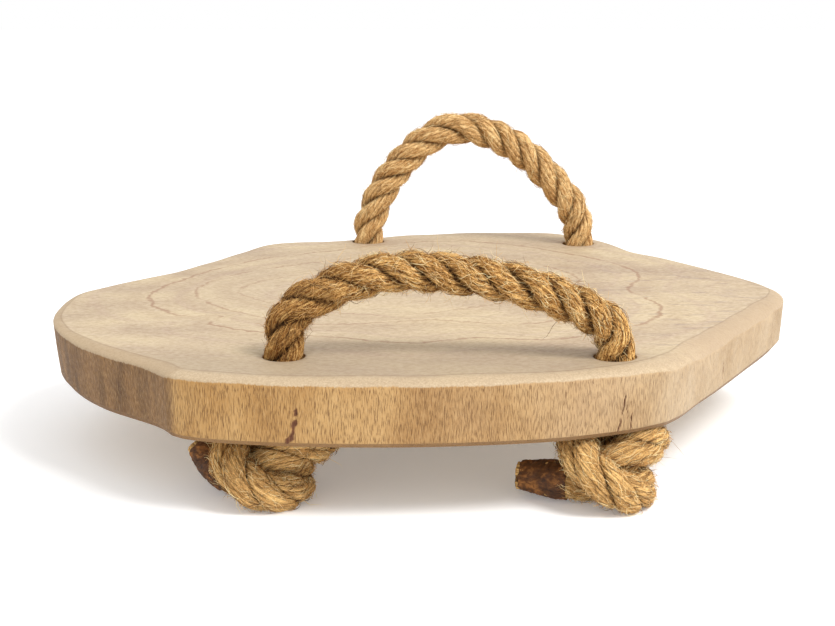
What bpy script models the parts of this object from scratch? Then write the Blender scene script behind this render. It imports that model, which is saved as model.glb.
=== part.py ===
"""Serving tray: a slice of tree trunk with two rope handles, standing on the handles' knots.

Each handle is one rope. It comes up through one drilled hole, arches over the top and goes
down through the next hole. A tight overhand knot under the slab stops each end, and the four
knots are the tray's feet. Each rope end is bound with tape.

X is to the right, Y is to the rear and Z is up, with the floor at Z = 0. Units are metres.
"""

from math import cos, pi, radians, sin

import bmesh
import bpy
import numpy as np
from mathutils import Vector

MM = 0.001

# Driving dimensions
FOOT_HEIGHT = 45.5 * MM  # the knots hold the slab this far off the floor
SLAB_THICKNESS = 40 * MM
UNDERSIDE_Z = FOOT_HEIGHT
TOP_Z = FOOT_HEIGHT + SLAB_THICKNESS
RIM_ROUNDING = 5 * MM
ROPE_RADIUS = 11.75 * MM
KNOT_RADIUS = 10.75 * MM  # the rope is thinner where it is drawn tight
HOLE_RADIUS = 12.5 * MM
TAPE_INNER_RADIUS = 11.7 * MM
TAPE_THICKNESS = 0.7 * MM
TAPE_LENGTH = 29 * MM
ROPE_PAST_TAPE = 2 * MM  # the cut end that shows
GAP = 0.3 * MM  # between solids that touch
FLATTENED = 1.4 * MM  # how much of each knot is pressed flat by the floor
KNOT_ROPE = 298 * MM  # rope from the underside of the slab to the cut end
PIVOT_Z = TOP_Z + ROPE_RADIUS + GAP  # a handle bends over about the mouths of its holes

# How finely curves are divided
TUBE_RESOLUTION = 2  # 8 sides
SMOOTH_TUBE_RESOLUTION = 4  # 12 sides
HOLE_SIDES = 24
KNOT_POINTS = 40
ARCH_POINTS = 30
LEG_POINTS = 4
POINTS_PER_SPAN = 24  # of a smooth curve, between two of the points it goes through

WELD_DISTANCE = 0.01 * MM
FLOOR_BLOCK = (200 * MM, 20 * MM)  # width and depth of what presses a knot flat

# Tightening a knot: the rope as a chain of points, with its first ones held in the hole
CHAIN_POINTS = 56
HELD_POINTS = 3
RISE_POINTS = 6  # over which the rope rises from the floor to the height of its tape
STEPS = 700
CHAIN_CLEARANCE = 0.9 * MM  # so that the tubes through the points don't touch
LEAST_BEND = 13.5 * MM
LEAST_TAPED_BEND = 60 * MM
PULL_PER_STEP = 0.8 * MM
PULLED_FOR = 0.7  # share of the steps
SMOOTHINGS_PER_STEP = 2
CORRECTIONS_PER_STEP = 4
CROWD_POWER = 0.7  # a point pushed by many neighbours moves less for each
STIFF_POINTS_BEFORE_TAPE = 3
FULL_LENGTH_AT = 0.6  # share of the steps
STIFFNESS = 0.3  # how far each point goes to the middle of its neighbours at first

# The slab's outline, from the left tip, clockwise as seen from above (mm).
OUTLINE = [
    (-250, -54), (-246, -12), (-232, 21), (-212, 48), (-193, 76), (-168, 126), (-150, 168),
    (-134, 198), (-104, 213), (-62, 222), (-20, 246), (34, 259), (92, 263), (128, 243),
    (156, 206), (170, 166), (198, 124), (230, 70), (248, 25), (249, -16), (212, -94),
    (174, -163), (142, -216), (88, -246), (28, -259), (-32, -263), (-93, -259), (-142, -246),
    (-168, -217), (-204, -181), (-232, -138), (-246, -97),
]

# Each handle: its two holes from above, and its arch as (along from the left hole, up from the
# slab's top), both in mm.
HANDLES = {
    "front": {
        "holes": ((-87, -201), (111, -203)),
        "arch": [
            (0, 12), (3, 23), (14, 33), (37, 44), (60, 50), (88, 51), (110, 48.5), (132, 45),
            (152, 39.5), (176, 30), (192, 20), (198, 12),
        ],
    },
    "rear": {
        "holes": ((-48, 208), (126, 198)),
        "arch": [
            (0, 12), (8, 35), (20, 56), (40, 78), (60, 91.5), (80, 95), (105, 88.5), (131, 73),
            (152, 52), (168, 31), (173, 12),
        ],
    },
}

# A loose overhand knot below a hole's mouth, before it is pulled tight (mm).
LOOSE_KNOT = [
    (0, 0, 0), (0, 0, -8), (0, 0, -22), (12, 2, -44), (38, 2, -44), (48, -6, -22),
    (25, -20, -10), (-12, -22, -16), (-28, 0, -26), (-8, 22, -30), (18, 14, -30),
    (26, -12, -28), (10, -40, -34), (-30, -50, -36),
]

# How each knot is turned about its hole, and the way its free end was pulled.
KNOTS = {
    "front_left": {"turn": 284, "pull": (-1.0, 0.7, 0.9)},
    "front_right": {"turn": 306, "pull": (-1.0, 0.3, -0.5)},
    "rear_left": {"turn": 335, "pull": (-1.0, 0.2, 0.1)},
    "rear_right": {"turn": 300, "pull": (-1.0, 0.6, 0.2)},
}

WOOD = ("trunk_wood", (0.72, 0.56, 0.38, 1.0), 0.62)
JUTE = ("jute_rope", (0.52, 0.33, 0.15, 1.0), 0.9)
TAPE = ("brown_tape", (0.11, 0.06, 0.03, 1.0), 0.45)


def collection(name):
    made = bpy.data.collections.new(name)
    bpy.context.scene.collection.children.link(made)
    return made


def material(name, colour, roughness):
    made = bpy.data.materials.get(name) or bpy.data.materials.new(name)
    made.use_nodes = True
    shader = made.node_tree.nodes["Principled BSDF"]
    shader.inputs["Base Color"].default_value = colour
    shader.inputs["Roughness"].default_value = roughness
    shader.inputs["Metallic"].default_value = 0.0
    return made


def smooth_route(points, count):
    """Evenly spaced points on a Catmull-Rom curve through points."""
    ends = [2 * points[0] - points[1], *points, 2 * points[-1] - points[-2]]
    dense = []
    for a, b, c, d in zip(ends, ends[1:], ends[2:], ends[3:], strict=False):
        for t in np.linspace(0, 1, POINTS_PER_SPAN, endpoint=False):
            dense.append(
                0.5 * (2 * b + (c - a) * t + (2 * a - 5 * b + 4 * c - d) * t**2
                       + (3 * b - a - 3 * c + d) * t**3)
            )
    return evenly([*dense, points[-1]], count)


def evenly(points, count):
    points = np.array(points)
    along = np.r_[0, np.cumsum(np.linalg.norm(np.diff(points, axis=0), axis=1))]
    wanted = np.linspace(0, along[-1], count)
    return np.stack([np.interp(wanted, along, points[:, i]) for i in range(3)], axis=1)


def tightened(loose, pull):
    """Pulls a loose knot tight: the rope keeps its length, its thickness and a least bend."""
    route = smooth_route(loose, CHAIN_POINTS)
    held = route[:HELD_POINTS].copy()
    start = np.linalg.norm(np.diff(route, axis=0), axis=1).sum()
    pull = np.array(pull) / np.linalg.norm(pull)
    order = np.arange(CHAIN_POINTS)
    apart = np.abs(order[:, None] - order[None])
    bare_share = 1 - (TAPE_LENGTH + ROPE_PAST_TAPE) / KNOT_ROPE
    taped = order > (CHAIN_POINTS - 1) * bare_share - 1
    radius = np.where(taped, TAPE_INNER_RADIUS + TAPE_THICKNESS, KNOT_RADIUS)
    thickness = radius[:, None] + radius[None] + CHAIN_CLEARANCE
    first_taped = CHAIN_POINTS - taped.sum()
    rise = np.clip((order - first_taped) / RISE_POINTS + 1, 0, 1)
    bare, clear = KNOT_RADIUS - FLATTENED, TAPE_INNER_RADIUS + TAPE_THICKNESS + GAP
    lowest = bare + (clear - bare) * rise - FOOT_HEIGHT
    highest = -GAP - radius
    free = order > HELD_POINTS
    stiff = order > first_taped - STIFF_POINTS_BEFORE_TAPE
    bend = np.where(stiff[:, None] & stiff[None], LEAST_TAPED_BEND, LEAST_BEND)
    for step in range(STEPS):
        share = min(1, step / (STEPS * FULL_LENGTH_AT))
        spacing = (start + (KNOT_ROPE - start) * share) / (CHAIN_POINTS - 1)
        chord = 2 * bend * np.sin(np.minimum(apart * spacing / (2 * bend), pi / 2))
        needed = np.where(apart > 1, np.minimum(chord, thickness), 0)
        if step < STEPS * PULLED_FOR:
            route[-1] += pull * PULL_PER_STEP
        for _ in range(SMOOTHINGS_PER_STEP):
            middle = (route[:-2] + route[2:]) / 2
            route[1:-1] += (middle - route[1:-1]) * STIFFNESS * (1 - step / STEPS)
            route[:HELD_POINTS] = held
        for _ in range(CORRECTIONS_PER_STEP):
            push_apart(route, needed)
            keep_spacing(route, spacing)
            route[free, 2] = np.clip(route[free, 2], lowest[free], highest[free])
            route[:HELD_POINTS] = held
    return route


def push_apart(route, needed):
    """Moves each pair of points that is nearer than needed, so that they end that far apart."""
    between = route[:, None] - route[None]
    distance = np.linalg.norm(between, axis=2) + 1e-12
    short = np.where(distance < needed, needed - distance, 0)
    crowd = np.maximum(1, (short > 0).sum(axis=1))[:, None]
    push = (between / distance[..., None] * short[..., None]).sum(axis=1)
    route += push / 2 / crowd**CROWD_POWER


def keep_spacing(route, spacing):
    """Brings neighbouring points back to their spacing, every other pair at a time."""
    for first in (0, 1):
        at = np.arange(first, len(route) - 1, 2)
        edge = route[at + 1] - route[at]
        size = np.linalg.norm(edge, axis=1)[:, None]
        fix = (size - spacing) / size * edge / 2
        route[at] += fix
        route[at + 1] -= fix


def knot_route(name, hole):
    """The rope's centreline from the slab's underside to the cut end of the named knot."""
    turn = radians(KNOTS[name]["turn"])
    loose = [
        np.array([x * cos(turn) - y * sin(turn), x * sin(turn) + y * cos(turn), z]) * MM
        for x, y, z in LOOSE_KNOT
    ]
    route = tightened(loose, KNOTS[name]["pull"])
    at = np.array([hole[0] * MM, hole[1] * MM, UNDERSIDE_Z - GAP / 2])
    return evenly(route + at, KNOT_POINTS)


def arch_route(handle):
    """A handle's centreline from pivot to pivot, in the upright plane through its holes."""
    left, right = (Vector((x, y, 0)) * MM for x, y in handle["holes"])
    across = (right - left).normalized()
    upright = [left + across * (s * MM) + Vector((0, 0, TOP_Z + z * MM)) for s, z in handle["arch"]]
    upright[0] = left + Vector((0, 0, PIVOT_Z))
    upright[-1] = right + Vector((0, 0, PIVOT_Z))
    return smooth_route([np.array(p) for p in upright], ARCH_POINTS)


def with_round_ends(route):
    """(points, radii) of a tube that ends in half balls centred on the route's ends."""
    steps = [radians(a) for a in (80, 55, 28)]
    first = [route[0] - np.array([0, 0, ROPE_RADIUS * sin(a)]) for a in steps]
    last = [route[-1] - np.array([0, 0, ROPE_RADIUS * sin(a)]) for a in reversed(steps)]
    radii = [cos(a) for a in steps] + [1.0] * len(route) + [cos(a) for a in reversed(steps)]
    return [*first, *route, *last], radii


def tube_mesh(name, points, radius, radii=None, resolution=TUBE_RESOLUTION, capped=True):
    """A tube along points as a mesh, with welded caps."""
    curve = bpy.data.curves.new(name, "CURVE")
    curve.dimensions = "3D"
    curve.bevel_depth = radius
    curve.bevel_resolution = resolution
    curve.use_fill_caps = capped
    spline = curve.splines.new("POLY")
    spline.points.add(len(points) - 1)
    for i, point in enumerate(points):
        spline.points[i].co = (*point, 1)
        spline.points[i].radius = radii[i] if radii else 1.0
    guide = bpy.data.objects.new(name + "_guide", curve)
    bpy.context.scene.collection.objects.link(guide)
    evaluated = guide.evaluated_get(bpy.context.evaluated_depsgraph_get())
    mesh = bpy.data.meshes.new_from_object(evaluated)
    bpy.data.objects.remove(guide)
    bpy.data.curves.remove(curve)
    welded = bmesh.new()
    welded.from_mesh(mesh)
    bmesh.ops.remove_doubles(welded, verts=welded.verts, dist=WELD_DISTANCE)
    bmesh.ops.recalc_face_normals(welded, faces=welded.faces)
    welded.to_mesh(mesh)
    welded.free()
    mesh.shade_smooth()
    mesh.set_sharp_from_angle(angle=radians(50))
    return mesh


def add_object(name, mesh, finish, parts, parent):
    mesh.name = name
    mesh.materials.clear()
    mesh.materials.append(material(*finish))
    made = bpy.data.objects.new(name, mesh)
    parts.objects.link(made)
    made.parent = parent
    return made


def slab_mesh():
    """The outline, closed and smooth, extruded with rounded rims."""
    curve = bpy.data.curves.new("slab", "CURVE")
    curve.dimensions = "2D"
    curve.fill_mode = "BOTH"
    curve.extrude = SLAB_THICKNESS / 2 - RIM_ROUNDING
    curve.bevel_depth = RIM_ROUNDING
    curve.bevel_resolution = 1
    curve.offset = -RIM_ROUNDING
    curve.resolution_u = 3
    curve.render_resolution_u = 0
    spline = curve.splines.new("BEZIER")
    spline.bezier_points.add(len(OUTLINE) - 1)
    for point, (x, y) in zip(spline.bezier_points, OUTLINE, strict=True):
        point.co = (x * MM, y * MM, 0)
        point.handle_left_type = point.handle_right_type = "AUTO"
    spline.use_cyclic_u = True
    guide = bpy.data.objects.new("slab_guide", curve)
    bpy.context.scene.collection.objects.link(guide)
    evaluated = guide.evaluated_get(bpy.context.evaluated_depsgraph_get())
    mesh = bpy.data.meshes.new_from_object(evaluated)
    bpy.data.objects.remove(guide)
    welded = bmesh.new()
    welded.from_mesh(mesh)
    bmesh.ops.remove_doubles(welded, verts=welded.verts, dist=WELD_DISTANCE)
    bmesh.ops.recalc_face_normals(welded, faces=welded.faces)
    welded.to_mesh(mesh)
    welded.free()
    return mesh


def cut(target, cutter, cutters):
    """Takes the cutter object out of target with a Boolean modifier."""
    cutters.objects.link(cutter)
    cutter.hide_render = True
    cutter.display_type = "WIRE"
    modifier = target.modifiers.new(cutter.name, "BOOLEAN")
    modifier.operation = "DIFFERENCE"
    modifier.solver = "EXACT"
    modifier.object = cutter


def drill(slab, name, hole, cutters):
    drilled = bmesh.new()
    bmesh.ops.create_cone(
        drilled, cap_ends=True, segments=HOLE_SIDES, radius1=HOLE_RADIUS, radius2=HOLE_RADIUS,
        depth=SLAB_THICKNESS * 2,
    )
    mesh = bpy.data.meshes.new(name + "_drill")
    drilled.to_mesh(mesh)
    drilled.free()
    cutter = bpy.data.objects.new(name + "_drill", mesh)
    cutter.location = (hole[0] * MM, hole[1] * MM, (UNDERSIDE_Z + TOP_Z) / 2)
    cut(slab, cutter, cutters)


def floor_cutter(name, hole):
    """A block whose top is the floor, under one knot."""
    size, depth = FLOOR_BLOCK
    block = bmesh.new()
    bmesh.ops.create_cube(block, size=1.0)
    bmesh.ops.scale(block, vec=(size, size, depth), verts=block.verts)
    mesh = bpy.data.meshes.new(name + "_floor")
    block.to_mesh(mesh)
    block.free()
    cutter = bpy.data.objects.new(name + "_floor", mesh)
    cutter.location = (hole[0] * MM, hole[1] * MM, -depth / 2)
    return cutter


def add_rope_end(name, hole, parts, cutters, parent):
    """One end of a rope: the leg in its hole, the knot with its free end, and the tape."""
    x, y = hole[0] * MM, hole[1] * MM
    leg_ends = np.array([[x, y, UNDERSIDE_Z + GAP / 2], [x, y, TOP_Z]])
    leg = tube_mesh(
        name + "_rope_leg", evenly(leg_ends, LEG_POINTS), ROPE_RADIUS, resolution=SMOOTH_TUBE_RESOLUTION
    )
    add_object(name + "_rope_leg", leg, JUTE, parts, parent)

    route = knot_route(name, hole)
    full = ROPE_RADIUS / KNOT_RADIUS  # the knot starts as thick as the leg above it
    wider = [1 + (full - 1) * max(0, 1 - i / HELD_POINTS) for i in range(KNOT_POINTS)]
    knot = tube_mesh(name + "_knot", route, KNOT_RADIUS, wider)
    knot = add_object(name + "_knot", knot, JUTE, parts, parent)
    cut(knot, floor_cutter(name, hole), cutters)

    add_object(name + "_tape", tape_mesh(name, route), TAPE, parts, parent)


def tape_mesh(name, route):
    """A sleeve round the end of a knot's route, with the cut end of the rope left bare."""
    back = np.array(route[::-1])
    along = np.r_[0, np.cumsum(np.linalg.norm(np.diff(back, axis=0), axis=1))]
    first, last = ROPE_PAST_TAPE, ROPE_PAST_TAPE + TAPE_LENGTH
    wanted = [first, *along[(along > first) & (along < last)], last]
    middle = np.stack([np.interp(wanted, along, back[:, i]) for i in range(3)], axis=1)
    mesh = tube_mesh(
        name + "_tape", middle, TAPE_INNER_RADIUS, resolution=SMOOTH_TUBE_RESOLUTION, capped=False
    )
    shell = bpy.data.objects.new(name + "_shell", mesh)
    bpy.context.scene.collection.objects.link(shell)
    wall = shell.modifiers.new("wall", "SOLIDIFY")
    wall.thickness = TAPE_THICKNESS
    wall.offset = 1.0
    evaluated = shell.evaluated_get(bpy.context.evaluated_depsgraph_get())
    solid = bpy.data.meshes.new_from_object(evaluated)
    bpy.data.objects.remove(shell)
    return solid


def main():
    for old in list(bpy.data.objects):
        bpy.data.objects.remove(old)
    parts, cutters = collection("rope_handled_tray"), collection("cutters")

    root = bpy.data.objects.new("tray", None)
    parts.objects.link(root)
    slab = add_object("slab", slab_mesh(), WOOD, parts, root)
    slab.location.z = (UNDERSIDE_Z + TOP_Z) / 2

    for side, handle in HANDLES.items():
        rope = bpy.data.objects.new(side + "_rope", None)
        parts.objects.link(rope)
        rope.parent = root
        for end, hole in zip(("left", "right"), handle["holes"], strict=True):
            name = f"{side}_{end}"
            drill(slab, name, hole, cutters)
            add_rope_end(name, hole, parts, cutters, rope)
        points, radii = with_round_ends(arch_route(handle))
        pivot = np.array([*np.array(handle["holes"][0]) * MM, PIVOT_Z])
        arch = tube_mesh(side + "_handle", [p - pivot for p in points], ROPE_RADIUS, radii)
        made = add_object(side + "_handle", arch, JUTE, parts, rope)
        made.location = Vector(pivot)


main()
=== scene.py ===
"""The looks of a rope-handled wooden serving tray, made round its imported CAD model.

A slice of tree trunk carries two jute ropes. Each rope arches over the top, passes down through
two holes and ends in overhand knots, which are the tray's feet. Units are metres, with the floor
at Z = 0, X to the right and Y to the rear.
"""

from math import cos, pi, radians, sin

import bmesh
import bpy
import numpy as np
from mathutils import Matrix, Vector, geometry


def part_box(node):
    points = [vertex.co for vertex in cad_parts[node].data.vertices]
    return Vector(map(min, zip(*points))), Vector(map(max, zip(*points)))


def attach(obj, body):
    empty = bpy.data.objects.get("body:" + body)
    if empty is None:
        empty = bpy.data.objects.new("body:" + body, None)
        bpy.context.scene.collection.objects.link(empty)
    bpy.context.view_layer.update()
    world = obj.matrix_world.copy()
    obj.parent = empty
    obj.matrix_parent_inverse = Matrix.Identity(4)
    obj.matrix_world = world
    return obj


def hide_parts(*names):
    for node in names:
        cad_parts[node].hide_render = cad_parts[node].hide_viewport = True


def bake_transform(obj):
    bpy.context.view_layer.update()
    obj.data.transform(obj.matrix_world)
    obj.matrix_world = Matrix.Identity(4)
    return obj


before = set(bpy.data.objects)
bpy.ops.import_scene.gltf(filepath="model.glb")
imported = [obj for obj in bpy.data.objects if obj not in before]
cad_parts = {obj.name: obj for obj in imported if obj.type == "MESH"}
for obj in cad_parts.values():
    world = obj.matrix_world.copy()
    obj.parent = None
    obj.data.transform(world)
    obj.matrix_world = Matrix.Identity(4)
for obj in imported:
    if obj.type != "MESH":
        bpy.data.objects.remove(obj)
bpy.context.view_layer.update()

MM = 0.001

# The slab
UNDERSIDE_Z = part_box("slab")[0].z
TOP_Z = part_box("slab")[1].z
HOLE_RADIUS = 13.0 * MM

# The rope
leg_low, leg_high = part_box("front_left_rope_leg")
ROPE_RADIUS = (leg_high.x - leg_low.x) / 2
LAY = 62 * MM  # one turn of the strands
STRANDS = 3
ROPE_SLIP = 5 * MM  # how far each rope can sink in its holes
YARNS = 11  # seen round each strand
YARN_TURN = 46 * MM  # one turn of the yarns about their strand, the other way round
RING_STEP = 1.05 * MM
COLUMNS = 66  # of vertices round a strand
STRAND_OUT = 5.7 * MM  # from the rope's middle to a strand's
STRAND_RADII = (6.2 * MM, 6.7 * MM)  # of a strand, outward and sideways
SEAM_Z = UNDERSIDE_Z * 0.4 + TOP_Z * 0.6  # inside a hole, where arch and knot pieces meet

# Fibres on each mm of rope
LYING, STANDING, LONG = 15, 17, 0.6
FIBRE_CLEARANCE = 1.2 * MM  # above the slab, once the rope has sunk

# The slab's outline, from the left tip, clockwise as seen from above (mm).
OUTLINE = [
    (-251, -54), (-247.5, -12), (-232, 21), (-212, 48), (-193, 76), (-168, 126), (-150, 168),
    (-134, 198), (-104, 213), (-62, 222), (-20, 246), (34, 259), (92, 263), (128, 243),
    (156, 206), (170, 166), (198, 124), (230, 70), (250, 25), (251, -16), (212, -94),
    (174, -163), (142, -216), (88, -246), (28, -259), (-32, -263), (-93, -259), (-142, -246),
    (-168, -217), (-204, -181), (-232, -138), (-247, -97),
]

# Each handle: its arch as (along from the left hole, up from the slab's top), both in mm.
ARCHES = {
    "front": [
        (0, 12), (3, 23), (14, 33), (37, 44), (60, 50), (88, 51), (110, 48.5), (132, 45),
        (152, 39.5), (176, 30), (192, 20), (198, 12),
    ],
    "rear": [
        (0, 12), (8, 35), (20, 56), (40, 78), (60, 91.5), (80, 95), (105, 88.5), (131, 73),
        (152, 52), (168, 31), (173, 12),
    ],
}

# A loose overhand knot below a hole's mouth, before it is pulled tight (mm).
LOOSE_KNOT = [
    (0, 0, 0), (0, 0, -8), (0, 0, -22), (12, 2, -44), (38, 2, -44), (48, -6, -22),
    (25, -20, -10), (-12, -22, -16), (-28, 0, -26), (-8, 22, -30), (18, 14, -30),
    (26, -12, -28), (10, -40, -34), (-30, -50, -36),
]

# How each knot is turned about its hole, and the way its free end was pulled.
KNOTS = {
    "front_left": {"turn": 284, "pull": (-1.0, 0.7, 0.9)},
    "front_right": {"turn": 306, "pull": (-1.0, 0.3, -0.5)},
    "rear_left": {"turn": 335, "pull": (-1.0, 0.2, 0.1)},
    "rear_right": {"turn": 300, "pull": (-1.0, 0.6, 0.2)},
}
KNOT_ROPE = 298 * MM  # rope from the underside of the slab to the cut end
KNOT_RADIUS = 10.75 * MM
TAPE_LENGTH = 29 * MM
ROPE_PAST_TAPE = 2 * MM  # the cut end that shows
TAPE_RADIUS = 12.4 * MM
FLATTENED = 1.4 * MM  # how far each knot is pressed flat by the floor
GAP = 0.3 * MM


# ---------------------------------------------------------------- curves and knots


def smooth_route(points, count, closed=False):
    """Evenly spaced points on a Catmull-Rom curve through points."""
    points = [np.array(p, float) for p in points]
    if closed:
        ends = [points[-1], *points, points[0], points[1]]
    else:
        ends = [2 * points[0] - points[1], *points, 2 * points[-1] - points[-2]]
    dense = []
    for a, b, c, d in zip(ends, ends[1:], ends[2:], ends[3:], strict=False):
        for t in np.linspace(0, 1, 24, endpoint=False):
            dense.append(
                0.5 * (2 * b + (c - a) * t + (2 * a - 5 * b + 4 * c - d) * t**2
                       + (3 * b - a - 3 * c + d) * t**3)
            )
    return evenly([*dense, points[0] if closed else points[-1]], count)


def lengths(points):
    """How far along a line each of its points is."""
    return np.r_[0, np.cumsum(np.linalg.norm(np.diff(points, axis=0), axis=1))]


def evenly(points, count):
    points = np.array(points)
    along = lengths(points)
    wanted = np.linspace(0, along[-1], count)
    return np.stack([np.interp(wanted, along, column) for column in points.T], axis=1)


def tightened(loose, pull):
    """Pulls a loose knot tight: the rope keeps its length, its thickness and a least bend."""
    count, steps, pinned = 56, 700, 3
    clearance, least_bend, least_taped_bend = 0.9 * MM, 13.5 * MM, 60 * MM
    route = smooth_route(loose, count)
    held = route[:pinned].copy()
    start = lengths(route)[-1]
    pull = np.array(pull) / np.linalg.norm(pull)
    order = np.arange(count)
    apart = np.abs(order[:, None] - order[None])
    taped = order > (count - 1) * (1 - (TAPE_LENGTH + ROPE_PAST_TAPE) / KNOT_ROPE) - 1
    radius = np.where(taped, TAPE_RADIUS, KNOT_RADIUS)
    thickness = radius[:, None] + radius[None] + clearance
    first_taped = count - taped.sum()
    rise = np.clip((order - first_taped) / 6 + 1, 0, 1)
    bare, clear = KNOT_RADIUS - FLATTENED, TAPE_RADIUS + GAP
    lowest = bare + (clear - bare) * rise - UNDERSIDE_Z
    highest = -GAP - radius
    free = order > pinned
    stiff = order > first_taped - 3
    bend = np.where(stiff[:, None] & stiff[None], least_taped_bend, least_bend)
    for step in range(steps):
        share = min(1, step / (steps * 0.6))
        spacing = (start + (KNOT_ROPE - start) * share) / (count - 1)
        chord = 2 * bend * np.sin(np.minimum(apart * spacing / (2 * bend), pi / 2))
        needed = np.where(apart > 1, np.minimum(chord, thickness), 0)
        if step < steps * 0.7:
            route[-1] += pull * 0.8 * MM
        for _ in range(2):
            middle = (route[:-2] + route[2:]) / 2
            route[1:-1] += (middle - route[1:-1]) * 0.3 * (1 - step / steps)
            route[:pinned] = held
        for _ in range(4):
            between = route[:, None] - route[None]
            distance = np.linalg.norm(between, axis=2) + 1e-12
            short = np.where(distance < needed, needed - distance, 0)
            crowd = np.maximum(1, (short > 0).sum(axis=1))[:, None]
            push = (between / distance[..., None] * short[..., None]).sum(axis=1)
            route += push * 0.5 / crowd**0.7
            for first in (0, 1):
                at = np.arange(first, count - 1, 2)
                edge = route[at + 1] - route[at]
                size = np.linalg.norm(edge, axis=1)[:, None]
                fix = (size - spacing) / size * edge / 2
                route[at] += fix
                route[at + 1] -= fix
            route[free, 2] = np.clip(route[free, 2], lowest[free], highest[free])
            route[:pinned] = held
    return route


def hole_centre(name):
    low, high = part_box(name + "_rope_leg")
    return np.array([(low.x + high.x) / 2, (low.y + high.y) / 2, 0.0])


def knot_route(name):
    """The rope's centreline from the slab's underside to the cut end of the named knot."""
    turn = radians(KNOTS[name]["turn"])
    loose = [
        np.array([x * cos(turn) - y * sin(turn), x * sin(turn) + y * cos(turn), z]) * MM
        for x, y, z in LOOSE_KNOT
    ]
    route = tightened(loose, KNOTS[name]["pull"])
    return route + hole_centre(name) + np.array([0, 0, UNDERSIDE_Z])


def arch_route(side):
    left, right = hole_centre(side + "_left"), hole_centre(side + "_right")
    across = (right - left) / np.linalg.norm(right - left)
    points = [left + across * s * MM + np.array([0, 0, TOP_Z + z * MM]) for s, z in ARCHES[side]]
    points[-1] = right + np.array([0, 0, points[-1][2]])
    return smooth_route(points, 120)


def whole_route(side):
    """A rope's centreline from its left cut end to its right one, a point every RING_STEP."""
    left, right = knot_route(side + "_left"), knot_route(side + "_right")
    points = np.array([*left[::-1], *arch_route(side), *right])
    dense = evenly(points, 4000)
    reach = int(6 * MM / (lengths(dense)[-1] / 4000))
    kernel = np.hanning(2 * reach + 1)
    kernel /= kernel.sum()
    padded = np.concatenate([
        2 * dense[0] - dense[reach:0:-1], dense, 2 * dense[-1] - dense[-2:-reach - 2:-1],
    ])
    smooth = np.stack([np.convolve(c, kernel, mode="valid") for c in padded.T], axis=1)
    return evenly(smooth, int(lengths(smooth)[-1] / RING_STEP))


# ---------------------------------------------------------------- numbers that vary smoothly


def wave(rng, positions, wavelengths, amplitude):
    """A smooth random curve at positions: a sum of sine waves of about those lengths."""
    total = np.zeros_like(positions, dtype=float)
    for length in wavelengths:
        total += np.sin(2 * pi * (positions / (length * rng.uniform(0.85, 1.15)) + rng.random()))
    return total * amplitude / len(wavelengths)


def eased(x, low, high):
    t = np.clip((x - low) / (high - low), 0, 1)
    return t * t * (3 - 2 * t)


def unit(vectors):
    return vectors / np.maximum(np.linalg.norm(vectors, axis=-1, keepdims=True), 1e-12)


# ---------------------------------------------------------------- meshes


def add_mesh(name, vertices, faces, material, attributes=None, sharp=None):
    """A smooth-shaded object from an array of vertices and a list of face arrays."""
    mesh = bpy.data.meshes.new(name)
    mesh.vertices.add(len(vertices))
    mesh.vertices.foreach_set("co", np.asarray(vertices, np.float32).ravel())
    corners = np.concatenate([np.asarray(f).ravel() for f in faces])
    sizes = np.concatenate([np.full(len(f), np.asarray(f).shape[1]) for f in faces])
    mesh.loops.add(len(corners))
    mesh.loops.foreach_set("vertex_index", corners.astype(np.int32))
    mesh.polygons.add(len(sizes))
    starts = np.r_[0, np.cumsum(sizes)[:-1]]
    mesh.polygons.foreach_set("loop_start", starts.astype(np.int32))
    mesh.update(calc_edges=True)
    mesh.validate()
    for key, values in (attributes or {}).items():
        values = np.asarray(values, np.float32)
        kind = "FLOAT_VECTOR" if values.ndim == 2 else "FLOAT"
        layer = mesh.attributes.new(key, kind, "POINT")
        layer.data.foreach_set("vector" if values.ndim == 2 else "value", values.ravel())
    mesh.shade_smooth()
    if sharp:
        mesh.set_sharp_from_angle(angle=radians(sharp))
    mesh.materials.append(material)
    made = bpy.data.objects.new(name, mesh)
    bpy.context.scene.collection.objects.link(made)
    return made


def grid_faces(rows, columns, start=0):
    """Quads of a grid that closes on itself round its columns."""
    i = np.arange(rows - 1)[:, None] * columns
    j = np.arange(columns)[None]
    after = (j + 1) % columns
    quads = np.stack([i + j, i + after, i + columns + after, i + columns + j], axis=-1)
    return quads.reshape(-1, 4) + start


# ---------------------------------------------------------------- material graphs


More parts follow.
